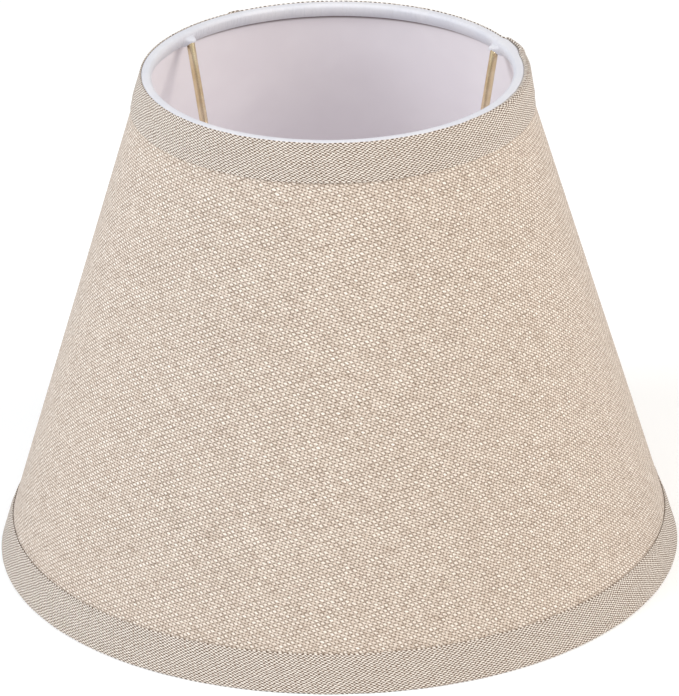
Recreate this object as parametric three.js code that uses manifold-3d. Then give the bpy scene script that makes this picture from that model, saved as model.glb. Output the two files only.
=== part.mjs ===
// A hardback empire lamp shade: cloth laminated to a stiff liner, rolled into a cone and closed by a
// glued lap, with a taped and trimmed wire ring at each end and a three-arm slip fitter.
// Millimetres, +Z up. The origin is the centre of the circle that the bottom edge stands on.
import * as THREE from "three";
import { mergeVertices } from "three/addons/utils/BufferGeometryUtils.js";
import Module from "manifold-3d";

const wasm = await Module();
wasm.setup();

// Outside of the finished shade.
const BOTTOM_RADIUS = 140.5;
const TOP_RADIUS = 77.2;
const HEIGHT = 208;

// Sheet and wire stock.
const TRIM_THICKNESS = 0.6;
const TAPE_THICKNESS = 0.25;
const FABRIC_THICKNESS = 0.6;
const LINER_THICKNESS = 0.45;
const ADHESIVE_THICKNESS = 0.15;
const RING_WIRE = 2.4;
const ARM_WIRE = 3.2;

// Clearances between bonded layers, and round a weld.
const GLUE_GAP = 0.1;
const WELD_GAP = 0.2;

// Edge finish: the widths of the trim and of the two legs of the tape.
const TRIM_WIDTH = 15.5;
const TRIM_EDGE_INSET = 0.3;
const TAPE_OUTER_LEG = 12;
const TAPE_INNER_LEG = 5.6;
const TAPE_TUCK = 0.6;

// The lap of the rolled panel, in degrees round the cone, turned away behind the right side.
const SEAM_AZIMUTH = 20;
const LAP = 6;
const LAP_DROP = 2;
const LAP_RAMP = 7;
const FINE_STEP = 1;
const COARSE_STEP = 5;

// Slip fitter: how far it hangs below the top edge, and the socket collar.
const FITTER_DROP = 57;
const ARM_AZIMUTHS = [23.5, 143.5, 263.5];
const ARM_LEAN = THREE.MathUtils.degToRad(10);
const ARM_BEND_RADIUS = 10;
const COLLAR_BORE_RADIUS = 20.65;
const COLLAR_FLANGE_RADIUS = 27;
const COLLAR_SHEET = 1.2;
const COLLAR_NECK = 5.2;

// Weld nuggets, as half sizes along the arm's radius, across it and upwards.
const RING_NUGGET = [1.6, 2.2, 1.1];
const COLLAR_NUGGET = [2.2, 2.4, 0.75];

// The slits that let the arms out of the top tape.
const SLIT_WIDTH = 5.4;
const SLIT_DEPTH = 6;
const SLIT_TOP_RISE = 0.9;

// Facets.
const WIRE_SIDES = 8;
const ARM_STEPS = 36;
const BEND_POINTS = 6;
const COLLAR_SEGMENTS = 48;

// Depths of the layers' outer faces, square to the wall, from the outside of the trim inwards.
const TAPE_DEPTH = TRIM_THICKNESS + GLUE_GAP;
const FABRIC_DEPTH = TAPE_DEPTH + TAPE_THICKNESS + GLUE_GAP;
const LINER_DEPTH = FABRIC_DEPTH + FABRIC_THICKNESS + GLUE_GAP;
const RING_DEPTH = LINER_DEPTH + LINER_THICKNESS + GLUE_GAP;

// At the lap the panel's outer end rides over its inner end and the adhesive.
const LAP_RAISE = FABRIC_THICKNESS + LINER_THICKNESS + ADHESIVE_THICKNESS + 3 * GLUE_GAP;
const ADHESIVE_DEPTH = FABRIC_DEPTH - GLUE_GAP - ADHESIVE_THICKNESS;

const WALL_ANGLE = Math.atan2(BOTTOM_RADIUS - TOP_RADIUS, HEIGHT);
const PANEL_INSET = TAPE_THICKNESS + GLUE_GAP;
const RING_INSET = PANEL_INSET + RING_WIRE / 2;

const { degToRad, smoothstep } = THREE.MathUtils;

// A point [radius, z] at a depth under the outside of the wall.
function wallPoint(depth, z) {
  const outside = BOTTOM_RADIUS - z * Math.tan(WALL_ANGLE);
  return [outside - depth / Math.cos(WALL_ANGLE), z];
}

// Height of a place that lies a distance in from the top edge, or from the bottom edge.
function heightFrom(end, inset) {
  return end === "top" ? HEIGHT - inset : inset;
}

// Centre [radius, z] of a ring wire, which lies against the inside of the liner.
function ringCentre(end) {
  return wallPoint(RING_DEPTH + RING_WIRE / 2, heightFrom(end, RING_INSET));
}

// One turn of stations, in degrees from the panel's inner end: close together at the lap.
function turnStations() {
  const stations = [];
  for (let a = 0; a < LAP + LAP_DROP; a += FINE_STEP) stations.push(a);
  for (let a = LAP + LAP_DROP; a < 360 - LAP_RAMP; a += COARSE_STEP) stations.push(a);
  for (let a = 360 - LAP_RAMP; a < 360; a += FINE_STEP) stations.push(a);
  return stations;
}

// The panel runs a full turn and then on over its own inner end.
function panelStations() {
  const stations = turnStations();
  for (let a = 360; a <= 360 + LAP; a += FINE_STEP) stations.push(a);
  return stations;
}

// How far the panel stands out at a station: nothing until it climbs over its inner end.
function panelLift(station) {
  return LAP_RAISE * smoothstep(station, 360 - LAP_RAMP, 360);
}

// How far a band wrapped over the lap stands out.
function bandLift(station) {
  const fall = 1 - smoothstep(station, LAP, LAP + LAP_DROP);
  const climb = smoothstep(station, 360 - LAP_RAMP, 360);
  return LAP_RAISE * Math.max(fall, climb);
}

// Sweeps a section round the axis. sectionAt(station) gives its [radius, z] points, anticlockwise.
// An open sweep is closed by a fan at each end, so its section is convex.
function sweepRound(sectionAt, stations, closed = true) {
  const positions = [];
  const index = [];
  let count = 0;
  for (const station of stations) {
    const azimuth = degToRad(SEAM_AZIMUTH - LAP / 2 + station);
    const section = sectionAt(station);
    count = section.length;
    for (const [radius, z] of section) {
      positions.push(radius * Math.cos(azimuth), radius * Math.sin(azimuth), z);
    }
  }
  const spans = closed ? stations.length : stations.length - 1;
  for (let i = 0; i < spans; i += 1) {
    const here = i * count;
    const next = ((i + 1) % stations.length) * count;
    for (let j = 0; j < count; j += 1) {
      const k = (j + 1) % count;
      index.push(here + j, next + j, next + k);
      index.push(here + j, next + k, here + k);
    }
  }
  if (!closed) {
    const last = spans * count;
    for (let j = 1; j < count - 1; j += 1) {
      index.push(0, j, j + 1);
      index.push(last, last + j + 1, last + j);
    }
  }
  const geometry = new THREE.BufferGeometry();
  geometry.setAttribute("position", new THREE.Float32BufferAttribute(positions, 3));
  geometry.setIndex(index);
  return geometry;
}

// Section of a sheet that follows the wall between two heights.
function sheetSection(depth, thickness, low, high) {
  return [
    wallPoint(depth + thickness, low),
    wallPoint(depth, low),
    wallPoint(depth, high),
    wallPoint(depth + thickness, high),
  ];
}

// Section of a thin strip along a path of [radius, z] points.
function stripSection(path, thickness) {
  const right = [];
  const left = [];
  path.forEach(([radius, z], i) => {
    const [r0, z0] = path[Math.max(i - 1, 0)];
    const [r1, z1] = path[Math.min(i + 1, path.length - 1)];
    const scale = thickness / 2 / Math.hypot(r1 - r0, z1 - z0);
    const across = (z1 - z0) * scale;
    const up = (r0 - r1) * scale;
    right.push([radius + across, z + up]);
    left.push([radius - across, z - up]);
  });
  return right.concat(left.reverse());
}

// Section of a round wire about a centre [radius, z].
function wireSection([radius, z], wireRadius) {
  const section = [];
  for (let i = 0; i < WIRE_SIDES; i += 1) {
    const angle = (i / WIRE_SIDES) * Math.PI * 2;
    section.push([radius + wireRadius * Math.cos(angle), z + wireRadius * Math.sin(angle)]);
  }
  return section;
}

function solidFrom(geometry) {
  const bare = geometry.clone();
  bare.deleteAttribute("normal");
  bare.deleteAttribute("uv");
  const merged = mergeVertices(bare);
  return new wasm.Manifold(
    new wasm.Mesh({
      numProp: 3,
      vertProperties: merged.attributes.position.array,
      triVerts: new Uint32Array(merged.index.array),
    }),
  );
}

function geometryFrom(solid) {
  const { vertProperties, triVerts } = solid.getMesh();
  const geometry = new THREE.BufferGeometry();
  geometry.setAttribute("position", new THREE.BufferAttribute(vertProperties, 3));
  geometry.setIndex(new THREE.BufferAttribute(triVerts, 1));
  return geometry;
}

function named(name, geometry, material) {
  const mesh = new THREE.Mesh(geometry, material);
  mesh.name = name;
  return mesh;
}

// The stiff liner and the cloth on it: rolled sheets with overlapping ends.
function rolledPanel(depth, thickness) {
  const low = PANEL_INSET;
  const high = HEIGHT - PANEL_INSET;
  const sectionAt = (station) =>
    sheetSection(depth - panelLift(station), thickness, low, high);
  return sweepRound(sectionAt, panelStations(), false);
}

// The adhesive strip lies on the panel's inner end, just short of both edges of the lap.
function seamAdhesive() {
  const stations = turnStations().filter((station) => station > 0 && station < LAP);
  const low = PANEL_INSET;
  const high = HEIGHT - PANEL_INSET;
  const sectionAt = () => sheetSection(ADHESIVE_DEPTH, ADHESIVE_THICKNESS, low, high);
  return sweepRound(sectionAt, stations, false);
}

// The trim is a flat band on the outside of the edge, raised where it crosses the lap.
function trimBand(end) {
  const edge = heightFrom(end, TRIM_EDGE_INSET);
  const inner = heightFrom(end, TRIM_EDGE_INSET + TRIM_WIDTH * Math.cos(WALL_ANGLE));
  const low = Math.min(edge, inner);
  const high = Math.max(edge, inner);
  const sectionAt = (station) => sheetSection(-bandLift(station), TRIM_THICKNESS, low, high);
  return sweepRound(sectionAt, turnStations());
}

// The tape starts under the trim, rolls over the edge and the ring, and ends tucked in below the ring.
function tapeBand(end) {
  const halfTape = TAPE_THICKNESS / 2;
  const middle = TAPE_DEPTH + halfTape;
  const [ringRadius] = ringCentre(end);
  const roll = RING_WIRE / 2 + GLUE_GAP + halfTape;
  const at = (radius, inset) => [radius, heightFrom(end, inset)];
  const sectionAt = (station) => {
    const depth = middle - bandLift(station);
    const [shoulderRadius] = wallPoint(depth + TAPE_THICKNESS, heightFrom(end, halfTape));
    return stripSection(
      [
        wallPoint(depth, heightFrom(end, TAPE_OUTER_LEG)),
        wallPoint(depth, heightFrom(end, PANEL_INSET)),
        at(shoulderRadius, halfTape),
        at(ringRadius, halfTape),
        at(ringRadius - roll * Math.SQRT1_2, RING_INSET - roll * Math.SQRT1_2),
        at(ringRadius - roll, RING_INSET),
        at(ringRadius - roll, TAPE_INNER_LEG - 2 * TAPE_TUCK),
        at(ringRadius - roll + TAPE_TUCK, TAPE_INNER_LEG),
      ],
      TAPE_THICKNESS,
    );
  };
  return sweepRound(sectionAt, turnStations());
}

function ringWire(end, wireRadius = RING_WIRE / 2) {
  const section = wireSection(ringCentre(end), wireRadius);
  return sweepRound(() => section, turnStations());
}

// Where an arm starts, beside the top ring, in the arm's own plane: [radius, z].
function armTop() {
  const [ringRadius, ringZ] = ringCentre("top");
  return [ringRadius - (RING_WIRE + ARM_WIRE) / 2 - WELD_GAP, ringZ];
}

// The arm's route in its own plane: down and in from the ring, round the bend, in to the collar.
function armRoute() {
  const [topRadius, topZ] = armTop();
  const footZ = HEIGHT - FITTER_DROP - COLLAR_SHEET - WELD_GAP - ARM_WIRE / 2;
  const footRadius = COLLAR_BORE_RADIUS + COLLAR_SHEET + 2 * WELD_GAP;
  const turn = Math.PI / 2 - ARM_LEAN;
  const setback = ARM_BEND_RADIUS * Math.tan(turn / 2);
  const cornerRadius = topRadius - (topZ - footZ) * Math.tan(ARM_LEAN);
  const bendRadius = cornerRadius - setback;
  const points = [new THREE.Vector3(topRadius, 0, topZ)];
  for (let i = 0; i <= BEND_POINTS; i += 1) {
    const angle = turn * (1 - i / BEND_POINTS);
    const radius = bendRadius + ARM_BEND_RADIUS * Math.sin(angle);
    const z = footZ + ARM_BEND_RADIUS * (1 - Math.cos(angle));
    points.push(new THREE.Vector3(radius, 0, z));
  }
  points.push(new THREE.Vector3(footRadius, 0, footZ));
  return new THREE.CatmullRomCurve3(points);
}

// A weld nugget in the arm's plane, as a squashed ball.
function nugget(halfSizes, radius, z) {
  const ball = new THREE.SphereGeometry(1, 10, 8);
  ball.scale(...halfSizes);
  ball.translate(radius, 0, z);
  return solidFrom(ball);
}

// One arm with the weld metal at both of its ends, made in the plane of azimuth 0.
function fitterArm(azimuth) {
  const outline = wireSection([0, 0], ARM_WIRE / 2).map(([x, y]) => new THREE.Vector2(x, y));
  const wire = new THREE.ExtrudeGeometry(new THREE.Shape(outline), {
    steps: ARM_STEPS,
    extrudePath: armRoute(),
  });
  const [ringRadius, ringZ] = ringCentre("top");
  const collarWeldRadius = COLLAR_FLANGE_RADIUS - COLLAR_NUGGET[0] - WELD_GAP;
  const collarWeldZ = HEIGHT - FITTER_DROP - COLLAR_SHEET - COLLAR_NUGGET[2] - WELD_GAP / 2;
  const ringWeld = nugget(RING_NUGGET, ringRadius - RING_NUGGET[0], ringZ - WELD_GAP);
  const collarWeld = nugget(COLLAR_NUGGET, collarWeldRadius, collarWeldZ);
  const ringSpace = ringWire("top", RING_WIRE / 2 + WELD_GAP).rotateZ(-degToRad(azimuth));
  const solid = solidFrom(wire).add(collarWeld).add(ringWeld).subtract(solidFrom(ringSpace));
  return geometryFrom(solid).rotateZ(degToRad(azimuth));
}

// The top tape is slit on its inner side where each arm comes out from the ring.
function slitTopTape() {
  const [ringRadius, ringZ] = ringCentre("top");
  const slitHeight = 2 * TAPE_INNER_LEG;
  const slitMiddle = ringZ + SLIT_TOP_RISE - slitHeight / 2;
  let tape = solidFrom(tapeBand("top"));
  for (const azimuth of ARM_AZIMUTHS) {
    const slit = new THREE.BoxGeometry(SLIT_DEPTH, SLIT_WIDTH, slitHeight);
    slit.translate(ringRadius - SLIT_DEPTH / 2, 0, slitMiddle);
    slit.rotateZ(degToRad(azimuth));
    tape = tape.subtract(solidFrom(slit));
  }
  return geometryFrom(tape);
}

// A stamped ring: a flat flange for the socket's ring nut, with a short neck turned down at its bore.
function fitterCollar() {
  const top = HEIGHT - FITTER_DROP;
  const neckRadius = COLLAR_BORE_RADIUS + COLLAR_SHEET;
  const profile = [
    [COLLAR_BORE_RADIUS, top],
    [COLLAR_BORE_RADIUS, top - COLLAR_NECK],
    [neckRadius, top - COLLAR_NECK],
    [neckRadius, top - COLLAR_SHEET],
    [COLLAR_FLANGE_RADIUS, top - COLLAR_SHEET],
    [COLLAR_FLANGE_RADIUS, top],
    [COLLAR_BORE_RADIUS, top],
  ].map(([radius, z]) => new THREE.Vector2(radius, z));
  return new THREE.LatheGeometry(profile, COLLAR_SEGMENTS).rotateX(Math.PI / 2);
}

const cloth = new THREE.MeshStandardMaterial({ color: 0xd4c3b6, roughness: 0.95, metalness: 0 });
const trimCloth = new THREE.MeshStandardMaterial({ color: 0xcdbaab, roughness: 0.95, metalness: 0 });
const whiteTape = new THREE.MeshStandardMaterial({ color: 0xeceef3, roughness: 0.6, metalness: 0 });
const linerSheet = new THREE.MeshStandardMaterial({ color: 0xe9e4e6, roughness: 0.55, metalness: 0 });
const adhesive = new THREE.MeshStandardMaterial({ color: 0xe6dfc8, roughness: 0.4, metalness: 0 });
const steel = new THREE.MeshStandardMaterial({ color: 0xb4b5b7, roughness: 0.4, metalness: 1 });
const brass = new THREE.MeshStandardMaterial({ color: 0xc8a25a, roughness: 0.25, metalness: 1 });

const frame = new THREE.Group();
frame.add(named("top_ring_wire", ringWire("top"), steel));
frame.add(named("bottom_ring_wire", ringWire("bottom"), steel));
frame.add(named("fitter_collar", fitterCollar(), brass));
ARM_AZIMUTHS.forEach((azimuth, i) => {
  frame.add(named(`fitter_arm_${i + 1}`, fitterArm(azimuth), brass));
});

const cover = new THREE.Group();
cover.add(named("hardback_liner", rolledPanel(LINER_DEPTH, LINER_THICKNESS), linerSheet));
cover.add(named("shade_fabric", rolledPanel(FABRIC_DEPTH, FABRIC_THICKNESS), cloth));
cover.add(named("seam_adhesive", seamAdhesive(), adhesive));
cover.add(named("top_tape", slitTopTape(), whiteTape));
cover.add(named("bottom_tape", tapeBand("bottom"), whiteTape));
cover.add(named("top_trim", trimBand("top"), trimCloth));
cover.add(named("bottom_trim", trimBand("bottom"), trimCloth));

const lampShade = new THREE.Group();
lampShade.add(frame, cover);

export default lampShade;
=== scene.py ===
import math

import bpy
from mathutils import Matrix, Vector, noise


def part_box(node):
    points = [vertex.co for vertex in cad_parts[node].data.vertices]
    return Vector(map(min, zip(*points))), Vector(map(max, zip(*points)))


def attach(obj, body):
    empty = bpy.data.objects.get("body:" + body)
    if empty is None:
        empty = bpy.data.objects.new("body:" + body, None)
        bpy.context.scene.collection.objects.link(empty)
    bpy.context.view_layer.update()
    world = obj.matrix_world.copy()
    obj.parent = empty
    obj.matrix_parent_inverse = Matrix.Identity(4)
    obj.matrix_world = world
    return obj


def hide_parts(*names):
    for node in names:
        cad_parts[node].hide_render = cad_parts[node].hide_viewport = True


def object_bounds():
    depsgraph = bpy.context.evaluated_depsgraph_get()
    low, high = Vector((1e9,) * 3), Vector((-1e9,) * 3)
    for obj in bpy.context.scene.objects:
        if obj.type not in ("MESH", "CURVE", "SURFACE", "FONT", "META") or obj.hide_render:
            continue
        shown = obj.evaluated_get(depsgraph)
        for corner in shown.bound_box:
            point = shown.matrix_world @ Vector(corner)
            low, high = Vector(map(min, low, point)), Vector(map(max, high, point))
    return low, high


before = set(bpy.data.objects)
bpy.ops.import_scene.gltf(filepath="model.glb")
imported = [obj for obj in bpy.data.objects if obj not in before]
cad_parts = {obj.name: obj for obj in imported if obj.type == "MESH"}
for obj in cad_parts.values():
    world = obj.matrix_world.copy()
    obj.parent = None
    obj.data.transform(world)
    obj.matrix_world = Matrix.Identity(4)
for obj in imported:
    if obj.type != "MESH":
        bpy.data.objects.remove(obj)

cad_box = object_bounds()

# --- Ring wires ------------------------------------------------------------------------------------
# Two rings of zinc-plated steel wire, bent round and butt-welded. The large one holds the bottom
# edge round and the small one carries the fitter. The tapes are rolled over both, so they hardly show.
MM = 0.001
WIRE_SIDES = 16
RING_STEPS = 120
ZINC = (0.46, 0.47, 0.49, 1)
ZINC_SPANGLE = (0.60, 0.61, 0.63, 1)
SPANGLES_PER_METRE = 900.0
SPANGLE_RELIEF = 0.02 * MM
MERGE_DISTANCE = 0.01 * MM
SMOOTH_BELOW = math.radians(35)


class Value:
    """A number, colour or vector in a material's nodes, so that shader maths reads as an expression."""

    def __init__(self, tree, socket):
        self.tree = tree
        self.socket = socket

    def node(self, kind, settings, inputs, output=0):
        """Adds any other node: its settings are set first, then its sockets get values or links."""
        made = self.tree.nodes.new(kind)
        for name, setting in settings.items():
            if name == "stops":
                ramp = made.color_ramp
                while len(ramp.elements) < len(setting):
                    ramp.elements.new(1.0)
                for stop, (position, colour) in zip(ramp.elements, setting):
                    stop.position = position
                    stop.color = colour
            else:
                setattr(made, name, setting)
        for key, value in inputs.items():
            if isinstance(value, Value):
                self.tree.links.new(value.socket, made.inputs[key])
            else:
                made.inputs[key].default_value = value
        return Value(self.tree, made.outputs[output])

    def math(self, operation, first, second=0.0, third=0.0):
        return self.node("ShaderNodeMath", {"operation": operation}, {0: first, 1: second, 2: third})

    def __add__(self, other):
        return self.math("ADD", self, other)

    def __radd__(self, other):
        return self.math("ADD", other, self)

    def __sub__(self, other):
        return self.math("SUBTRACT", self, other)

    def __rsub__(self, other):
        return self.math("SUBTRACT", other, self)

    def __mul__(self, other):
        return self.math("MULTIPLY", self, other)

    def __rmul__(self, other):
        return self.math("MULTIPLY", other, self)

    def whole(self):
        return self.math("FLOOR", self)

    def part(self):
        return self.math("FRACT", self)

    def smooth(self, low, high):
        """0 below low, 1 above high, and smooth between them."""
        settings = {"interpolation_type": "SMOOTHSTEP"}
        return self.node("ShaderNodeMapRange", settings, {"Value": self, "From Min": low, "From Max": high})

    def vector(self, x, y, z):
        return self.node("ShaderNodeCombineXYZ", {}, {0: x, 1: y, 2: z})

    def axis(self, index):
        return self.node("ShaderNodeSeparateXYZ", {}, {0: self}, index)

    def noise(self, place, scale, detail=2.0, roughness=0.5):
        sockets = {"Vector": place, "Scale": scale, "Detail": detail, "Roughness": roughness}
        return self.node("ShaderNodeTexNoise", {}, sockets)

    def blend(self, factor, first, second):
        settings = {"data_type": "RGBA", "clamp_factor": True}
        return self.node("ShaderNodeMix", settings, {0: factor, 6: first, 7: second}, 2)

    def relief(self, height, depth):
        """A normal from a height of 0 to 1, of that depth in metres."""
        return self.node("ShaderNodeBump", {}, {"Strength": 1.0, "Distance": depth, "Height": height})


def new_finish(name, **constants):
    """A material with one Principled shader. Gives the material, its shader node and its Object place."""
    material = bpy.data.materials.new(name)
    material.use_nodes = True
    shader = material.node_tree.nodes["Principled BSDF"]
    for socket, value in constants.items():
        shader.inputs[socket.replace("_", " ")].default_value = value
    coordinates = material.node_tree.nodes.new("ShaderNodeTexCoord")
    return material, shader, Value(material.node_tree, coordinates.outputs["Object"])


def feed(shader, socket, value):
    value.tree.links.new(value.socket, shader.inputs[socket])


def select_only(piece):
    bpy.ops.object.select_all(action="DESELECT")
    piece.select_set(True)
    bpy.context.view_layer.objects.active = piece


def clean_mesh():
    """In edit mode: doubles merged and faces turned outwards."""
    bpy.ops.mesh.select_all(action="SELECT")
    bpy.ops.mesh.remove_doubles(threshold=MERGE_DISTANCE)
    bpy.ops.mesh.normals_make_consistent(inside=False)


def apply_modifier(piece, kind, **settings):
    select_only(piece)
    modifier = piece.modifiers.new(kind.title(), kind)
    for name, value in settings.items():
        setattr(modifier, name, value)
    bpy.ops.object.modifier_apply(modifier=modifier.name)


def finish_piece(piece, node, material):
    """The piece's place goes into its mesh, it gets its finish and joins the root body, and the CAD node
    that it takes the place of is hidden.
    """
    select_only(piece)
    bpy.ops.object.transform_apply(location=True, rotation=True, scale=True)
    bpy.ops.object.shade_smooth_by_angle(angle=SMOOTH_BELOW)
    piece.data.materials.clear()
    piece.data.materials.append(material)
    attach(piece, "root")
    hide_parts(node)


def ring_measures(node):
    """Radius of the wire, radius of the ring to the wire's centre, and height of that centre."""
    low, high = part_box(node)
    wire = (high.z - low.z) / 2
    return wire, high.x - wire, (high.z + low.z) / 2


def wire_ring(name, node):
    wire, radius, height = ring_measures(node)
    bpy.ops.object.select_all(action="DESELECT")
    bpy.ops.mesh.primitive_circle_add(
        vertices=WIRE_SIDES, radius=wire, location=(radius, 0, height), rotation=(math.pi / 2, 0, 0)
    )
    ring = bpy.context.object
    ring.name = name
    bpy.ops.object.mode_set(mode="EDIT")
    bpy.ops.mesh.select_all(action="SELECT")
    bpy.ops.mesh.spin(steps=RING_STEPS, angle=2 * math.pi, center=(0, 0, 0), axis=(0, 0, 1))
    clean_mesh()
    bpy.ops.object.mode_set(mode="OBJECT")
    return ring


def zinc_finish():
    material, shader, place = new_finish("zinc_wire", Metallic=1.0)
    spangle = place.noise(place, SPANGLES_PER_METRE, detail=3.0)
    feed(shader, "Base Color", place.blend(spangle, ZINC, ZINC_SPANGLE))
    feed(shader, "Roughness", 0.30 + 0.15 * spangle)
    feed(shader, "Normal", place.relief(spangle, SPANGLE_RELIEF))
    return material


zinc = zinc_finish()
finish_piece(wire_ring("top_ring", "top_ring_wire"), "top_ring_wire", zinc)
finish_piece(wire_ring("bottom_ring", "bottom_ring_wire"), "bottom_ring_wire", zinc)

# --- Fitter collar ---------------------------------------------------------------------------------
# The ring that slips over the lamp's socket: thin steel sheet with a turned-down neck, pressed in one
# blow and brass-plated. It hangs level on the three arms and its edges are rounded by the press.
COLLAR_SHEET = 1.2 * MM
COLLAR_CORNER = 1.0 * MM
COLLAR_EDGE = 0.35 * MM
NECK_OUTER_RADIUS = 21.85 * MM
COLLAR_STEPS = 128
CORNER_STEPS = 5
BRASS = (0.73, 0.58, 0.34, 1)
BRASS_PALE = (0.86, 0.73, 0.50, 1)
BRASS_CLOUDS_PER_METRE = 140.0
SCRATCHES_PER_METRE = 700.0
SCRATCH_STRETCH = 9.0
SCRATCH_RELIEF = 0.01 * MM
collar_low, collar_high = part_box("fitter_collar")
flange_radius = collar_high.x
neck_radius = NECK_OUTER_RADIUS - COLLAR_SHEET / 2
flange_height = collar_high.z - COLLAR_SHEET / 2


def pressed_collar():
    bpy.ops.object.select_all(action="DESELECT")
    bpy.ops.mesh.primitive_circle_add(
        vertices=COLLAR_STEPS, radius=flange_radius, location=(0, 0, flange_height)
    )
    collar = bpy.context.object
    collar.name = "slip_collar"
    bpy.ops.object.mode_set(mode="EDIT")
    bpy.ops.mesh.select_all(action="SELECT")
    radius, height = flange_radius, flange_height
    for step in range(CORNER_STEPS + 1):
        turn = math.pi / 2 * step / CORNER_STEPS
        next_radius = neck_radius + COLLAR_CORNER * (1 - math.sin(turn))
        next_height = flange_height - COLLAR_CORNER * (1 - math.cos(turn))
        bpy.ops.mesh.extrude_region_move(TRANSFORM_OT_translate={"value": (0, 0, next_height - height)})
        shrink = next_radius / radius
        bpy.ops.transform.resize(value=(shrink, shrink, 1), center_override=(0, 0, next_height))
        radius, height = next_radius, next_height
    bpy.ops.mesh.extrude_region_move(TRANSFORM_OT_translate={"value": (0, 0, collar_low.z - height)})
    clean_mesh()
    bpy.ops.object.mode_set(mode="OBJECT")
    apply_modifier(collar, "SOLIDIFY", thickness=COLLAR_SHEET, offset=0.0, use_even_offset=True)
    apply_modifier(collar, "BEVEL", width=COLLAR_EDGE, segments=3, limit_method="ANGLE", angle_limit=1.0)
    return collar


def brass_finish():
    """Bright brass plate: fine drawing lines along the wire and a slow change from pale to deep."""
    material, shader, place = new_finish("brass_plate", Metallic=1.0)
    cloud = place.noise(place, BRASS_CLOUDS_PER_METRE, detail=3.0)
    across = place.axis(0) * SCRATCH_STRETCH
    along = place.axis(1) * SCRATCH_STRETCH
    scratch = place.noise(place.vector(across, along, place.axis(2)), SCRATCHES_PER_METRE)
    feed(shader, "Base Color", place.blend(cloud.smooth(0.35, 0.7), BRASS, BRASS_PALE))
    feed(shader, "Roughness", 0.13 + 0.16 * scratch)
    feed(shader, "Normal", place.relief(scratch, SCRATCH_RELIEF))
    return material


brass = brass_finish()
finish_piece(pressed_collar(), "fitter_collar", brass)

# --- Fitter arms -----------------------------------------------------------------------------------
# Three brass-plated wires. Each is resistance-welded to the inside of the top ring, leans in as it
# drops, bends to level and runs in under the collar's flange, where a second weld holds it.
# Known fault: the mesh doesn't do that yet. The bend's spin turns up and not down, so the wire folds
# through itself, its faces come out inverted, and it ends above the collar, short of it and the weld.
ARM_WIRE_RADIUS = 1.7 * MM
ARM_SIDES = 20
ARM_LEAN = math.radians(10)
ARM_BEND = 10 * MM
BEND_STEPS = 14
ARM_FOOT_RADIUS = 22.25 * MM
WELD_GAP = 0.2 * MM
ARM_END_ROUND = 0.35 * MM
ARM_END_DROP = 1.6 * MM
ARM_END_INSET = 2.0 * MM
RING_WELD_OFFSET = Vector((0.9, 0, 0.1)) * MM
RING_WELD_SIZE = Vector((1.4, 1.9, 1.2)) * MM
BEAD_OFFSET = Vector((-0.55, -1.35, -1.9)) * MM
BEAD_SIZE = Vector((0.75, 0.8, 1.3)) * MM
COLLAR_WELD_OFFSET = Vector((2.35, 0, 0.95)) * MM
COLLAR_WELD_SIZE = Vector((2.2, 2.4, 0.75)) * MM
WELD_LUMPS = 1.9
WELD_UNEVEN = 0.16
_, top_ring_radius, top_ring_height = ring_measures("top_ring_wire")
arm_top = Vector((top_ring_radius - ARM_END_INSET, 0, top_ring_height - ARM_END_DROP))
foot_height = collar_high.z - COLLAR_SHEET - WELD_GAP - ARM_WIRE_RADIUS
bend_height = foot_height + ARM_BEND
bend_radius = (
    arm_top.x - (arm_top.z - bend_height) * math.tan(ARM_LEAN) - ARM_BEND / math.cos(ARM_LEAN)
)
arm_nodes = ["fitter_arm_1", "fitter_arm_2", "fitter_arm_3"]


def middle(node):
    low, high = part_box(node)
    return (low + high) / 2


arm_turns = [math.atan2(middle(node).y, middle(node).x) for node in arm_nodes]


def weld_nugget(name, centre, half_sizes, seed):
    """A blob of weld: a ball pressed out of true. Each seed gives another shape."""
    bpy.ops.object.select_all(action="DESELECT")
    bpy.ops.mesh.primitive_ico_sphere_add(subdivisions=3, radius=1, location=centre, scale=half_sizes)
    nugget = bpy.context.object
    nugget.name = name
    for vertex in nugget.data.vertices:
        swell = noise.noise(vertex.co * WELD_LUMPS + Vector((seed, 0, 0)))
        vertex.co *= 1 + WELD_UNEVEN * swell
    return nugget


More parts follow.
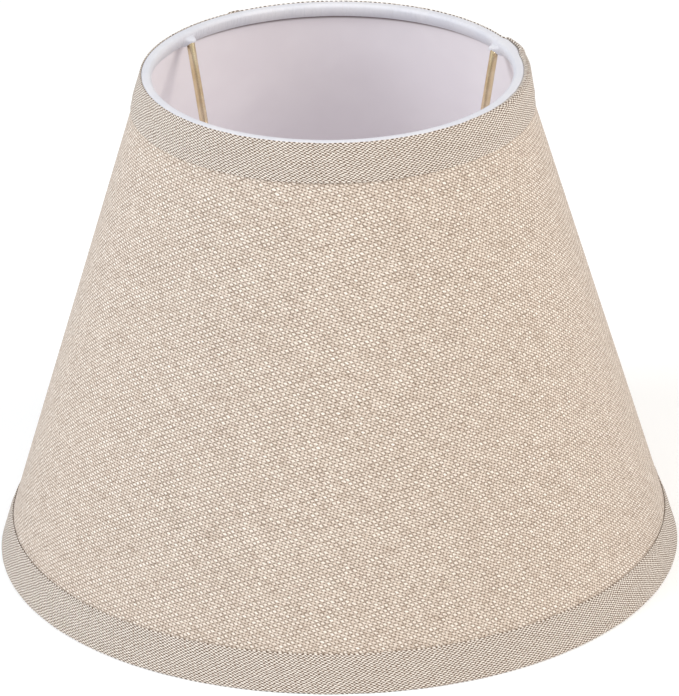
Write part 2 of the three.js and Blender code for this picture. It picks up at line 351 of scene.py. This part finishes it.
def bent_arm():
    bpy.ops.object.select_all(action="DESELECT")
    bpy.ops.mesh.primitive_circle_add(
        vertices=ARM_SIDES,
        radius=ARM_WIRE_RADIUS,
        fill_type="NGON",
        location=arm_top,
        rotation=(0, ARM_LEAN, 0),
    )
    arm = bpy.context.object
    arm.name = "arm"
    bend_centre = Vector((bend_radius, 0, bend_height))
    straight_end = bend_centre + ARM_BEND * Vector((math.cos(ARM_LEAN), 0, -math.sin(ARM_LEAN)))
    bpy.ops.object.mode_set(mode="EDIT")
    bpy.ops.mesh.select_all(action="SELECT")
    bpy.ops.mesh.extrude_region_move(TRANSFORM_OT_translate={"value": straight_end - arm_top})
    bpy.ops.mesh.spin(
        steps=BEND_STEPS, angle=math.pi / 2 - ARM_LEAN, center=bend_centre, axis=(0, 1, 0)
    )
    level_run = Vector((ARM_FOOT_RADIUS - bend_radius, 0, 0))
    bpy.ops.mesh.extrude_region_move(TRANSFORM_OT_translate={"value": level_run})
    clean_mesh()
    bpy.ops.object.mode_set(mode="OBJECT")
    apply_modifier(
        arm, "BEVEL", width=ARM_END_ROUND, segments=3, limit_method="ANGLE", angle_limit=math.radians(60)
    )
    arm_foot = Vector((ARM_FOOT_RADIUS, 0, foot_height))
    ring_weld = weld_nugget("ring_weld", arm_top + RING_WELD_OFFSET, RING_WELD_SIZE, 3.0)
    bead = weld_nugget("weld_bead", arm_top + BEAD_OFFSET, BEAD_SIZE, 7.0)
    collar_weld = weld_nugget("collar_weld", arm_foot + COLLAR_WELD_OFFSET, COLLAR_WELD_SIZE, 11.0)
    for blob in (ring_weld, bead, collar_weld):
        blob.select_set(True)
    arm.select_set(True)
    bpy.context.view_layer.objects.active = arm
    bpy.ops.object.join()
    return arm


first_arm = bent_arm()
for number, (node, turn) in enumerate(zip(arm_nodes, arm_turns), start=1):
    arm = first_arm.copy()
    arm.data = first_arm.data.copy()
    arm.name = f"arm_{number}"
    bpy.context.scene.collection.objects.link(arm)
    select_only(arm)
    bpy.ops.object.transform_apply(location=True, rotation=True, scale=True)
    arm.rotation_euler = (0, 0, turn)
    finish_piece(arm, node, brass)
bpy.data.objects.remove(first_arm)

# --- Hardback liner --------------------------------------------------------------------------------
# Stiff white plastic sheet cut as part of a ring and rolled into the cone. Its ends lap behind the right
# side, the outer over the inner. It is satin and faintly clouded. It has a painted glow, a faint light of
# its own that stands in for daylight through the sheet, and a painted shade: a dark band close under the
# tape's lip, where the lip shades the sheet.
LINER_THICKNESS = 0.45 * MM
LINER_DEPTH = 1.75 * MM
PANEL_INSET = 0.35 * MM
LAP_RAISE = 1.5 * MM
LAP_HALF = 3
LAP_RAMP = 7
PANEL_COLUMNS = 360 + 2 * LAP_HALF
PANEL_ROWS = 26
LINER_EDGE = 0.08 * MM
SEAM = 20
FRONT = 270
LINER_WHITE = (0.80, 0.765, 0.795, 1)
LINER_SHADE = (0.75, 0.71, 0.745, 1)
# Painted glow: colour of a faint light the liner gives out though it is no lamp.
LINER_PAINTED_GLOW = (0.92, 0.84, 0.90, 1)
# Painted shade under the tape's lip: its colour, and below it how far under the top edge it lies and how
# soft it is.
LINER_PAINTED_SHADE = (0.20, 0.165, 0.17, 1)
LINER_CLOUDS_PER_METRE = 22.0
LINER_GRAINS_PER_METRE = 1500.0
LINER_RELIEF = 0.25 * MM
# Strength of the liner's painted glow.
PAINTED_GLOW = 0.085
PAINTED_SHADE_LINE = 6.9 * MM
PAINTED_SHADE_SPREAD = 1.3 * MM
bottom_low, bottom_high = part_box("bottom_trim")
top_low, top_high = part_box("top_trim")
flare = (bottom_high.x - top_high.x) / (top_low.z - bottom_low.z)
lean = math.atan(flare)
foot_radius = bottom_high.x + bottom_low.z * flare
shade_height = cad_box[1][2]


def ease(value):
    """0 below 0, 1 above 1, and smooth between them."""
    value = min(max(value, 0.0), 1.0)
    return value * value * (3 - 2 * value)


def wall_radius(depth, height):
    """Radius of the wall at a height, that deep behind the face of the trims."""
    return foot_radius - height * flare - depth / math.cos(lean)


def point(turn, radius, height):
    angle = math.radians(turn)
    return Vector((radius * math.cos(angle), radius * math.sin(angle), height))


def panel_lift(turn):
    """How far the panel stands out, from its inner end at the seam to the outer end a turn later."""
    climb_end = SEAM + 360 - LAP_HALF
    return LAP_RAISE * ease((turn - (climb_end - LAP_RAMP)) / LAP_RAMP)


def steps(first, last, count):
    return [first + (last - first) * k / count for k in range(count + 1)]


panel_turns = steps(SEAM - LAP_HALF, SEAM + 360 + LAP_HALF, PANEL_COLUMNS)
panel_heights = steps(PANEL_INSET, shade_height - PANEL_INSET, PANEL_ROWS)


def developed(turn, depth, height):
    """Where a point of the wall lies in the flat sheet. The cone's own point is at 0, 0."""
    slant = wall_radius(depth, height) / math.sin(lean)
    angle = math.radians(turn - FRONT) * math.sin(lean)
    return slant * math.sin(angle), -slant * math.cos(angle)


def lay_sheet(name, turns, rows, place, cut):
    """A grid, rolled up: place puts each crossing in space, and cut says where it lies in the flat."""
    bpy.ops.object.select_all(action="DESELECT")
    bpy.ops.mesh.primitive_grid_add(x_subdivisions=len(turns) - 1, y_subdivisions=len(rows) - 1, size=1)
    sheet = bpy.context.object
    sheet.name = name
    crossings = [
        (
            turns[round((vertex.co.x + 0.5) * (len(turns) - 1))],
            rows[round((vertex.co.y + 0.5) * (len(rows) - 1))],
        )
        for vertex in sheet.data.vertices
    ]
    for vertex, crossing in zip(sheet.data.vertices, crossings):
        vertex.co = place(*crossing)
    flat = sheet.data.uv_layers.active.data
    for loop in sheet.data.loops:
        flat[loop.index].uv = cut(*crossings[loop.vertex_index])
    return sheet


def rolled_panel(name, depth, thickness, edge_round):
    middle_depth = depth + thickness / 2

    def place(turn, height):
        return point(turn, wall_radius(middle_depth - panel_lift(turn), height), height)

    def cut(turn, height):
        return developed(turn, middle_depth, height)

    panel = lay_sheet(name, panel_turns, panel_heights, place, cut)
    apply_modifier(panel, "SOLIDIFY", thickness=thickness, offset=0.0)
    apply_modifier(panel, "BEVEL", width=edge_round, segments=2, limit_method="ANGLE", angle_limit=1.0)
    return panel


def liner_finish():
    # Painted glow: the liner gives out a faint light of its own, standing in for daylight coming through
    # the sheet.
    material, shader, place = new_finish("liner_white", IOR=1.5, Emission_Strength=PAINTED_GLOW)
    cloud = place.noise(place, LINER_CLOUDS_PER_METRE, detail=3.0, roughness=0.55)
    grain = place.noise(place, LINER_GRAINS_PER_METRE)
    # Painted shade: a dark band on the liner just under the tape's lip darkens both its colour and its
    # glow, where the lip shades the sheet.
    painted_shade_end = shade_height - PAINTED_SHADE_LINE
    painted_shade_mask = place.axis(2).smooth(painted_shade_end - PAINTED_SHADE_SPREAD, painted_shade_end)
    white = place.blend(cloud.smooth(0.3, 0.7), LINER_WHITE, LINER_SHADE)
    feed(shader, "Base Color", place.blend(painted_shade_mask, white, LINER_PAINTED_SHADE))
    feed(shader, "Emission Color", place.blend(painted_shade_mask, LINER_PAINTED_GLOW, LINER_PAINTED_SHADE))
    feed(shader, "Roughness", 0.48 + 0.10 * grain)
    feed(shader, "Normal", place.relief(0.8 * cloud + 0.02 * grain, LINER_RELIEF))
    return material


liner = rolled_panel("liner", LINER_DEPTH, LINER_THICKNESS, LINER_EDGE)
finish_piece(liner, "hardback_liner", liner_finish())

# --- Shade fabric ----------------------------------------------------------------------------------
# Coarse plain-weave cloth of slubbed yarn in oatmeal and cream, laminated to the liner before it was
# rolled. The cut is part of a ring, laid a little off the grain, so the weave runs straight in the flat.
FABRIC_THICKNESS = 0.6 * MM
FABRIC_DEPTH = 1.05 * MM
FABRIC_EDGE = 0.2 * MM
WEFT_SLOPE = math.radians(-19.5)
WARP_SLOPE = math.radians(75.5)
WARP_SPACING = 1.41 * MM
WEFT_SPACING = 1.04 * MM
YARN_DARK = (0.27, 0.205, 0.155, 1)
YARN_OAT = (0.62, 0.515, 0.43, 1)
YARN_CREAM = (0.96, 0.89, 0.81, 1)
# Painted shade: the dark colour of the low places between the threads.
PAINTED_GAP_SHADE = (0.10, 0.052, 0.024, 1)
SWAYS_PER_METRE = (180.0, 200.0)
SWAY_THREADS = (1.3, 1.2)
FIRST_WARP = 300.0
FIRST_WEFT = 600.0
CROWN_SHARE = 0.55
RISE_SHARE = 0.30
WARP_SWELLS_PER_THREAD = 0.20
WEFT_SWELLS_PER_THREAD = 0.12
WARP_NOISE_STEP = 3.17
WEFT_NOISE_STEP = 2.83
WARP_TONE = 0.36
WEFT_TONE = 0.73
WARP_TONE_SWING = 0.30
WEFT_TONE_SWING = 0.45
FLECK = 0.9
PLIES_PER_THREAD = 2.4
FIBRES_PER_METRE = 9000.0
CLOTH_RELIEF = 0.35 * MM


def thread_counts(weft_slope, weft_step, warp_slope, warp_step):
    """The two vectors that count warps and wefts per metre of flat cloth, from a step along each."""
    along_weft = Vector((math.cos(weft_slope), math.sin(weft_slope))) * weft_step
    along_warp = Vector((math.cos(warp_slope), math.sin(warp_slope))) * warp_step
    cell = along_weft.x * along_warp.y - along_weft.y * along_warp.x
    warps = Vector((along_warp.y, -along_warp.x)) / cell
    wefts = Vector((-along_weft.y, along_weft.x)) / cell
    return warps, wefts


def cloth_finish(name, warps, wefts, gap_share, gap_shade_depth, lift, seed):
    """Plain weave from two thread counts: which thread is on top, its crown, and its own uneven colour.

    gap_share is how much of a thread falls away to the gap beside it, the gap depth the height below which
    the colour is painted darker as shade in the gaps between threads, lift how far the yarn's tone is
    raised, and seed gives each cloth its own slubs.
    FIRST_WARP and FIRST_WEFT keep the counts above zero, because Modulo mirrors below it."""
    material, shader, place = new_finish(name, Sheen_Weight=0.12, Sheen_Roughness=0.5, IOR=1.4)
    flat = place.node("ShaderNodeUVMap", {"uv_map": "UVMap"}, {})
    x = flat.axis(0)
    y = flat.axis(1)
    spot = flat.vector(x, y, seed)
    other_spot = flat.vector(x, y, seed + 5.0)
    sway_u = place.noise(spot, SWAYS_PER_METRE[0], detail=3.0, roughness=0.6) - 0.5
    sway_v = place.noise(other_spot, SWAYS_PER_METRE[1], detail=3.0, roughness=0.6) - 0.5
    u = x * warps.x + y * warps.y + SWAY_THREADS[0] * sway_u + FIRST_WARP
    v = x * wefts.x + y * wefts.y + SWAY_THREADS[1] * sway_v + FIRST_WEFT
    warp = u.whole()
    weft = v.whole()
    warp_side = u.part() - 0.5
    weft_side = v.part() - 0.5
    warp_sign = 1 - 2 * u.math("MODULO", warp, 2.0)
    weft_sign = 1 - 2 * v.math("MODULO", weft, 2.0)
    warp_rise = warp_sign * v.math("SINE", v * math.pi)
    weft_rise = -1 * weft_sign * u.math("SINE", u * math.pi)
    along_warp = flat.vector(warp * WARP_NOISE_STEP + seed, v * WARP_SWELLS_PER_THREAD, 1.0)
    along_weft = flat.vector(weft * WEFT_NOISE_STEP + seed, u * WEFT_SWELLS_PER_THREAD, 2.0)
    warp_swell = place.noise(along_warp, 1.0, detail=3.0)
    weft_swell = place.noise(along_weft, 1.0, detail=3.0)
    warp_crown = 1 - 4 * warp_side * warp_side * (1.35 - 0.7 * warp_swell) * gap_share
    weft_crown = 1 - 4 * weft_side * weft_side * (1.35 - 0.7 * weft_swell) * gap_share
    warp_height = CROWN_SHARE * warp_crown + RISE_SHARE * warp_rise
    weft_height = CROWN_SHARE * weft_crown + RISE_SHARE * weft_rise
    warp_on_top = (warp_height - weft_height).smooth(-0.08, 0.08)
    height = place.math("MAXIMUM", warp_height, weft_height)
    fleck = place.noise(flat.vector(warp * 5.3 + u * 0.35, weft * 4.1 + v * 0.35, seed), 1.0) - 0.5
    ply = place.noise(flat.vector(u * PLIES_PER_THREAD, v * PLIES_PER_THREAD, seed), 1.0, detail=1.0) - 0.5
    warp_tone = WARP_TONE + WARP_TONE_SWING * (warp_swell - 0.5)
    weft_tone = WEFT_TONE + WEFT_TONE_SWING * (weft_swell - 0.5)
    tone = lift + warp_tone * warp_on_top + weft_tone * (1 - warp_on_top) + FLECK * fleck + FLECK * ply
    yarn = place.node(
        "ShaderNodeValToRGB",
        {"stops": [(0.0, YARN_DARK), (0.45, YARN_OAT), (1.0, YARN_CREAM)]},
        {0: tone},
    )
    # Painted shade: below the gap depth the yarn's colour gives way to a dark brown, shade painted into the
    # low places between the threads.
    feed(shader, "Base Color", place.blend(height.smooth(0.05, gap_shade_depth), PAINTED_GAP_SHADE, yarn))
    fibre = place.noise(spot, FIBRES_PER_METRE)
    feed(shader, "Roughness", 0.78 + 0.15 * fibre)
    feed(shader, "Normal", place.relief(0.5 * height + 0.06 * fibre + 0.3, CLOTH_RELIEF))
    return material


panel_warps, panel_wefts = thread_counts(WEFT_SLOPE, WARP_SPACING, WARP_SLOPE, WEFT_SPACING)
panel_cloth = cloth_finish(
    "oatmeal_cloth", panel_warps, panel_wefts, gap_share=1.15, gap_shade_depth=0.72, lift=-0.06, seed=1.0
)
fabric = rolled_panel("cloth_cover", FABRIC_DEPTH, FABRIC_THICKNESS, FABRIC_EDGE)
finish_piece(fabric, "shade_fabric", panel_cloth)


def panel_flat_size():
    """The rectangle that the ring-shaped cut comes from, and the cut's own area."""
    outer = wall_radius(FABRIC_DEPTH, panel_heights[0]) / math.sin(lean)
    inner = wall_radius(FABRIC_DEPTH, panel_heights[-1]) / math.sin(lean)
    spread = math.radians(panel_turns[-1] - panel_turns[0]) * math.sin(lean)
    width = 2 * outer * math.sin(spread / 2)
    length = outer - inner * math.cos(spread / 2)
    return (width, length), (outer**2 - inner**2) * spread / 2


panel_flat, panel_area = panel_flat_size()

# --- Seam adhesive ---------------------------------------------------------------------------------
# A strip of clear double-sided film that closes the lap of the panel. Only its edge can be seen. The
# frame's own solid has the right shape, so it stays and gets a finish.
FILM = (0.74, 0.68, 0.52, 1)
FILM_EDGE = (0.62, 0.55, 0.38, 1)
FILM_STREAKS_PER_METRE = 300.0


def film_finish():
    material, shader, place = new_finish("adhesive_film", IOR=1.47, Coat_Roughness=0.2)
    streak = place.noise(place, FILM_STREAKS_PER_METRE, detail=3.0)
    feed(shader, "Base Color", place.blend(streak, FILM, FILM_EDGE))
    feed(shader, "Roughness", 0.2 + 0.2 * streak)
    return material


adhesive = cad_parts["seam_adhesive"]
adhesive.data.materials.clear()
adhesive.data.materials.append(film_finish())

# --- Edge tapes ------------------------------------------------------------------------------------
# White self-adhesive tape. It starts under the trim, is rolled over the edge and round the wire ring,
# and ends as a free lip inside. At each fitter arm the top one is slit and tented over the wire's end.
TAPE_THICKNESS = 0.25 * MM
TAPE_DEPTH = 0.7 * MM
TAPE_GAP = 0.1 * MM
TAPE_MERGE = 0.002 * MM
TAPE_OUTER_LEG = 12 * MM
TAPE_LEG_END = 1.3 * MM
TAPE_INNER_LEG = 5.6 * MM
TAPE_TUCK = 1.7 * MM
TAPE_CORNER = 0.7 * MM
LAP_DROP = 3
TENT_HEIGHT = 2.75 * MM
TENT_HALF = 2.4 * MM
TENT_FULL = 1.3 * MM
MOUTH_FLAT = 1.2 * MM
MOUTH_SLOPE = 1.6 * MM
MOUTH_RISE = 2.1 * MM
SLIT_RISE = 1.7 * MM
SLIT_PLACE = -1.2 * MM
SLIT_HALF = 0.14 * MM
TAPE_COLUMNS = 240
FINE_HALF = 6.4 * MM
FINE_STEPS = 40
SLIT_REACH = 0.2 * MM
SLIT_STEPS = 6
OUTER_LEG_ROWS = 6
CORNER_ROWS = 5
ROLL_ROWS = 12
LIP_ROWS = 8
CREST_LIFT = 0.6
RING_LIFT = 0.3
RIPPLES_PER_METRE = 260.0
RIPPLE_DEPTH = 0.12 * MM
CREASES_PER_METRE = 210.0
CREASE_STRETCH = 5.0
CREASE_RELIEF = 0.14 * MM
TAPE_CLOUDS_PER_METRE = 60.0
TAPE_WHITE = (0.72, 0.715, 0.755, 1)
TAPE_COOL = (0.665, 0.67, 0.725, 1)


def band_lift(turn):
    """How far the panel's lap pushes out whatever is wrapped round it."""
    turn = turn % 360
    climb = ease((turn - (SEAM - LAP_HALF - LAP_RAMP)) / LAP_RAMP)
    drop = ease((turn - SEAM - LAP_HALF) / LAP_DROP)
    return LAP_RAISE * (climb - drop)


def tape_section(ring, edge_height, inward):
    """Rows of the tape's section from outside to inside, as radius, height, lift, tent and leg shares.

    lift is how much the row follows the panel's lap out, which fades over the crest. tent and leg are 0
    but on the free lip. inward is -1 for the top edge and 1 for the bottom one."""
    wire, ring_radius, ring_height = ring
    roll = wire + TAPE_GAP + TAPE_THICKNESS / 2
    leg_depth = TAPE_DEPTH + TAPE_THICKNESS / 2
    crest = ring_height - inward * roll
    rows = []
    for share in steps(0, 1, OUTER_LEG_ROWS):
        height = edge_height + inward * (TAPE_OUTER_LEG + (TAPE_LEG_END - TAPE_OUTER_LEG) * share)
        rows.append((wall_radius(leg_depth, height), height, 1.0, 0.0, 0.0))
    corner_radius = wall_radius(leg_depth, crest + inward * TAPE_CORNER) - TAPE_CORNER
    for angle in steps(0, math.pi / 2, CORNER_ROWS):
        rows.append(
            (
                corner_radius + TAPE_CORNER * math.cos(angle),
                crest + inward * TAPE_CORNER * (1 - math.sin(angle)),
                1 - (1 - CREST_LIFT) * math.sin(angle),
                0.0,
                0.0,
            )
        )
    rows.append(((corner_radius + ring_radius) / 2, crest, RING_LIFT, 0.0, 0.0))
    for angle in steps(0, math.pi / 2, ROLL_ROWS):
        rows.append(
            (
                ring_radius - roll * math.sin(angle),
                ring_height - inward * roll * math.cos(angle),
                0.0,
                0.0,
                0.0,
            )
        )
    for share in steps(0, 1, LIP_ROWS)[1:]:
        rows.append((ring_radius - roll, ring_height, 0.0, 1.0, share))
    return rows


def arm_offset(turn, radius):
    """Distance round the edge to the nearest fitter arm, in metres."""
    offsets = [(math.radians(turn) - arm + math.pi) % (2 * math.pi) - math.pi for arm in arm_turns]
    return radius * min(offsets, key=abs)


def edge_tape(name, ring, edge_height, inward, arms):
    """One tape. arms says whether it has to be slit and tented over the fitter's arms."""
    turns = tape_turns(arms)
    section = tape_section(ring, edge_height, inward)
    _, ring_radius, ring_height = ring
    lengths = [0.0]
    for before, after in zip(section, section[1:]):
        lengths.append(lengths[-1] + math.hypot(after[0] - before[0], after[1] - before[1]))

    def lip_length(offset):
        length = TAPE_INNER_LEG - abs(ring_height - edge_height)
        if arms:
            mouth = MOUTH_RISE * (1 - ease((abs(offset) - MOUTH_FLAT) / MOUTH_SLOPE))
            slit = SLIT_RISE * (1 - ease((abs(offset - SLIT_PLACE) - SLIT_HALF / 2) / (SLIT_HALF / 2)))
            length -= mouth + slit
        return length

    def place(turn, index):
        radius, height, lift, tent, leg = section[index]
        offset = arm_offset(turn, ring_radius)
        drop = leg * lip_length(offset)
        ripple = noise.noise(point(turn, ring_radius, height) * RIPPLES_PER_METRE) * RIPPLE_DEPTH
        radius += lift * band_lift(turn) + ripple * (0.3 + leg)
        tuck = TAPE_TUCK * leg * leg
        if arms:
            follow = drop * math.tan(ARM_LEAN)
            over_arm = math.exp(-((abs(offset) / TENT_HALF) ** 3))
            radius -= tent * ease(drop / TENT_FULL) * (TENT_HEIGHT + follow) * over_arm
            tuck *= 1 - over_arm
        radius += tuck
        return point(turn, radius, height + inward * drop)

    def cut(turn, index):
        return math.radians(turn) * ring_radius, lengths[index]

    tape = lay_sheet(name, turns, list(range(len(section))), place, cut)
    select_only(tape)
    bpy.ops.object.mode_set(mode="EDIT")
    bpy.ops.mesh.select_all(action="SELECT")
    bpy.ops.mesh.remove_doubles(threshold=TAPE_MERGE)
    bpy.ops.object.mode_set(mode="OBJECT")
    apply_modifier(tape, "SOLIDIFY", thickness=TAPE_THICKNESS, offset=0.0)
    return tape


def tape_turns(arms):
    """Stations round the edge: even ones, and fine ones where the tape is tented and slit."""
    turns = set(steps(0, 360, TAPE_COLUMNS))
    if arms:
        for arm in arm_turns:
            centre = math.degrees(arm) % 360
            turn_per_metre = math.degrees(1 / top_ring_radius)
            cleared = (FINE_HALF + SLIT_REACH) * turn_per_metre
            turns = {turn for turn in turns if abs(turn - centre) > cleared}
            for offset in steps(-FINE_HALF, FINE_HALF, FINE_STEPS):
                turns.add(centre + turn_per_metre * offset)
            for offset in steps(-SLIT_REACH, SLIT_REACH, SLIT_STEPS):
                turns.add(centre + turn_per_metre * (SLIT_PLACE + offset))
    return sorted(turns)


def tape_finish():
    """Smooth white film with short creases across the roll, where it was drawn round the curve."""
    material, shader, place = new_finish("white_film", IOR=1.46)
    flat = place.node("ShaderNodeUVMap", {"uv_map": "UVMap"}, {})
    drawn = flat.vector(flat.axis(0) * CREASE_STRETCH, flat.axis(1), 4.0)
    crease = place.noise(drawn, CREASES_PER_METRE, detail=3.0)
    cloud = place.noise(place, TAPE_CLOUDS_PER_METRE)
    feed(shader, "Base Color", place.blend(cloud.smooth(0.3, 0.7), TAPE_WHITE, TAPE_COOL))
    feed(shader, "Roughness", 0.36 + 0.16 * crease)
    feed(shader, "Normal", place.relief(crease.smooth(0.3, 0.75), CREASE_RELIEF))
    return material


white_film = tape_finish()
top_ring = ring_measures("top_ring_wire")
top_tape = edge_tape("tape_top", top_ring, shade_height, inward=-1, arms=True)
finish_piece(top_tape, "top_tape", white_film)
bottom_ring = ring_measures("bottom_ring_wire")
bottom_tape = edge_tape("tape_bottom", bottom_ring, 0.0, inward=1, arms=False)
finish_piece(bottom_tape, "bottom_tape", white_film)

# --- Edge trims ------------------------------------------------------------------------------------
# Strips of the same cloth cut on the bias, both long edges folded under, stretched and glued round the
# outside over the tape. The inner edge dips off the tape onto the cloth. Each is joined by a short lap.
TRIM_CLOTH = 0.27 * MM
TRIM_LAYER = 0.15 * MM
TRIM_WIDTH = 15.5 * MM
TOP_TRIM_INSET = 0.05 * MM
BOTTOM_TRIM_INSET = 0.3 * MM
PUFF = 2.2 * MM
PUFF_MIDDLE = -8
PUFF_REACH = 34
PUFF_FADE = 16
TRIM_DIP = 0.36 * MM
DIP_START = 11.6 * MM
DIP_SLOPE = 2.2 * MM
WANDER = 0.16 * MM
WANDERS_PER_DEGREE = 0.23
WANDERS_PER_METRE = 60
TRIM_LAP_RAISE = 0.62 * MM
TRIM_FLAP_GAP = 0.1 * MM
FOLD_START = 1.2 * MM
TRIM_JOIN = 120
TRIM_LAP = 3
TRIM_LAP_RAMP = 2
TRIM_COLUMNS = 360 + TRIM_LAP
FLAP_ROWS = 4
OUTER_FOLD_ROWS = 8
FACE_ROWS = 12
INNER_FOLD_ROWS = 4
TRIM_WEFT_SLOPE = math.radians(-24.3)
TRIM_WARP_SLOPE = math.radians(32.4)
TRIM_WARP_SPACING = 1.338 * MM
TRIM_WEFT_SPACING = 1.025 * MM


def puff(turn, across, depth):
    """How far the top trim's face stands off, on the right, where its fold wasn't pressed flat."""
    away = abs((turn - PUFF_MIDDLE + 180) % 360 - 180)
    round_edge = ease((PUFF_REACH - away) / PUFF_FADE)
    down = ease((across + FOLD_START) / (2 * FOLD_START)) * (1 - across / TRIM_WIDTH)
    return PUFF * round_edge * down * (3 * TRIM_LAYER - depth) / (2 * TRIM_LAYER)


def folded_strip():
    """Rows of the folded strip from the middle of its back, round the outer fold, down the face, round
    the inner fold and back to the middle: distance from the outer edge, depth, and place in the flat."""
    rows = []
    flap = TRIM_WIDTH / 2 - TRIM_FLAP_GAP
    front = TRIM_LAYER
    back = 3 * TRIM_LAYER
    for share in steps(0, 1, FLAP_ROWS)[:-1]:
        rows.append((flap - share * (flap - TRIM_LAYER), back))
    for angle in steps(0, math.pi, OUTER_FOLD_ROWS):
        rows.append((TRIM_LAYER * (1 - math.sin(angle)), 2 * TRIM_LAYER + TRIM_LAYER * math.cos(angle)))
    for share in steps(0, 1, FACE_ROWS)[1:-1]:
        rows.append((TRIM_LAYER + share * (TRIM_WIDTH - 2 * TRIM_LAYER), front))
    for angle in steps(0, math.pi, INNER_FOLD_ROWS):
        rows.append(
            (
                TRIM_WIDTH - TRIM_LAYER * (1 - math.sin(angle)),
                2 * TRIM_LAYER - TRIM_LAYER * math.cos(angle),
            )
        )
    for share in steps(0, 1, FLAP_ROWS)[1:]:
        rows.append((TRIM_WIDTH - TRIM_LAYER - share * (flap - TRIM_LAYER), back))
    flat = [0.0]
    for before, after in zip(rows, rows[1:]):
        flat.append(flat[-1] + math.hypot(after[0] - before[0], after[1] - before[1]))
    return [(across, depth, place) for (across, depth), place in zip(rows, flat)]


trim_rows = folded_strip()


def edge_trim(name, edge_height, inward, inset, seed):
    """One trim. inward is -1 for the top edge and 1 for the bottom one."""
    turns = steps(TRIM_JOIN, TRIM_JOIN + 360 + TRIM_LAP, TRIM_COLUMNS)
    mean_radius = wall_radius(0, edge_height + inward * TRIM_WIDTH / 2)

    def place(turn, index):
        across, depth, _ = trim_rows[index]
        spot = Vector((turn * WANDERS_PER_DEGREE, across * WANDERS_PER_METRE, seed))
        across += noise.noise(spot) * WANDER
        dip = TRIM_DIP * ease((across - DIP_START) / DIP_SLOPE)
        lap = TRIM_LAP_RAISE * ease((turn - TRIM_JOIN - 360 + TRIM_LAP_RAMP) / TRIM_LAP_RAMP)
        out = band_lift(turn) + lap - dip - depth
        if inward < 0:
            out += puff(turn, across, depth)
        height = edge_height + inward * (inset + across * math.cos(lean))
        radius = wall_radius(0, height) + out * math.cos(lean)
        return point(turn, radius, height + out * math.sin(lean))

    def cut(turn, index):
        return math.radians(turn) * mean_radius, inward * trim_rows[index][2]

    trim = lay_sheet(name, turns, list(range(len(trim_rows))), place, cut)
    apply_modifier(trim, "SOLIDIFY", thickness=TRIM_CLOTH, offset=0.0)
    return trim, (math.radians(turns[-1] - turns[0]) * mean_radius, trim_rows[-1][2])


trim_warps, trim_wefts = thread_counts(
    TRIM_WEFT_SLOPE, TRIM_WARP_SPACING, TRIM_WARP_SLOPE, TRIM_WEFT_SPACING
)
trim_cloth = cloth_finish(
    "oatmeal_cloth_bias", trim_warps, trim_wefts, gap_share=2.35, gap_shade_depth=0.94, lift=0.42, seed=21.0
)
for name, node, edge_height, inward, inset, seed in (
    ("trim_top", "top_trim", shade_height, -1, TOP_TRIM_INSET, 2.0),
    ("trim_bottom", "bottom_trim", 0.0, 1, BOTTOM_TRIM_INSET, 9.0),
):
    trim, trim_flat = edge_trim(name, edge_height, inward, inset, seed)
    finish_piece(trim, node, trim_cloth)

# --- Studio ----------------------------------------------------------------------------------------
# A white floor, two large soft lights at the sides, the left one cooler than the right one, and an
# even white sky. The camera stands far back with a long lens, above the front, and is a touch rolled.
FLOOR_SIZE = 12.0
FLOOR_WHITE = (0.93, 0.93, 0.93, 1)
FLOOR_GLOW = 0.16
FLOOR_DROP = 0.2 * MM
SKY = 0.62
LIGHT_DISTANCE = 1.7
LIGHT_SIZE = 0.9
CAMERA_DISTANCE = 2.2478
CAMERA_RISE = math.radians(24.29)
CAMERA_ROLL = math.radians(0.839)
CAMERA_LENS = 284.5
SENSOR = 36.0
CAMERA_CLIP = 50
AIM = Vector((0.0012, -0.0048, 0.0876))
MIDDLE_HEIGHT = 0.09835
middle_point = Vector((0, 0, MIDDLE_HEIGHT))

bpy.ops.object.select_all(action="DESELECT")
bpy.ops.mesh.primitive_plane_add(size=FLOOR_SIZE, location=(0, 0, -FLOOR_DROP))
floor = bpy.context.object
floor.name = "floor"
floor_paint, _, _ = new_finish(
    "floor_paint",
    Roughness=0.9,
    Base_Color=FLOOR_WHITE,
    Emission_Color=FLOOR_WHITE,
    Emission_Strength=FLOOR_GLOW,
)
floor.data.materials.append(floor_paint)

world = bpy.data.worlds.new("sky")
world.use_nodes = True
world.node_tree.nodes["Background"].inputs["Color"].default_value = (1, 1, 1, 1)
world.node_tree.nodes["Background"].inputs["Strength"].default_value = SKY
bpy.context.scene.world = world


def softbox(name, turn, rise, power, colour):
    light = bpy.data.lights.new(name, "AREA")
    light.shape = "SQUARE"
    light.size = LIGHT_SIZE
    light.energy = power
    light.color = colour
    lamp = bpy.data.objects.new(name, light)
    bpy.context.scene.collection.objects.link(lamp)
    toward = point(turn, math.cos(math.radians(rise)), math.sin(math.radians(rise)))
    lamp.location = middle_point + toward * LIGHT_DISTANCE
    lamp.rotation_euler = toward.to_track_quat("Z", "Y").to_euler()


softbox("left_softbox", turn=206, rise=34, power=17.5, colour=(0.92, 0.96, 1.0))
softbox("right_softbox", turn=332, rise=34, power=16.0, colour=(1.0, 0.95, 0.88))

camera = bpy.data.objects.new("camera", bpy.data.cameras.new("camera"))
bpy.context.scene.collection.objects.link(camera)
camera_way = Vector((0, -math.cos(CAMERA_RISE), math.sin(CAMERA_RISE)))
camera.location = middle_point + CAMERA_DISTANCE * camera_way
look = (AIM - camera.location).normalized()
side = look.cross(Vector((0, 0, 1))).normalized()
upward = side.cross(look)
camera_side = side * math.cos(CAMERA_ROLL) - upward * math.sin(CAMERA_ROLL)
camera_up = upward * math.cos(CAMERA_ROLL) + side * math.sin(CAMERA_ROLL)
camera.rotation_euler = Matrix((camera_side, camera_up, -look)).transposed().to_euler()
camera.data.lens = CAMERA_LENS
camera.data.sensor_width = SENSOR
camera.data.clip_end = CAMERA_CLIP
bpy.context.scene.camera = camera
bpy.context.scene.view_settings.view_transform = "Standard"
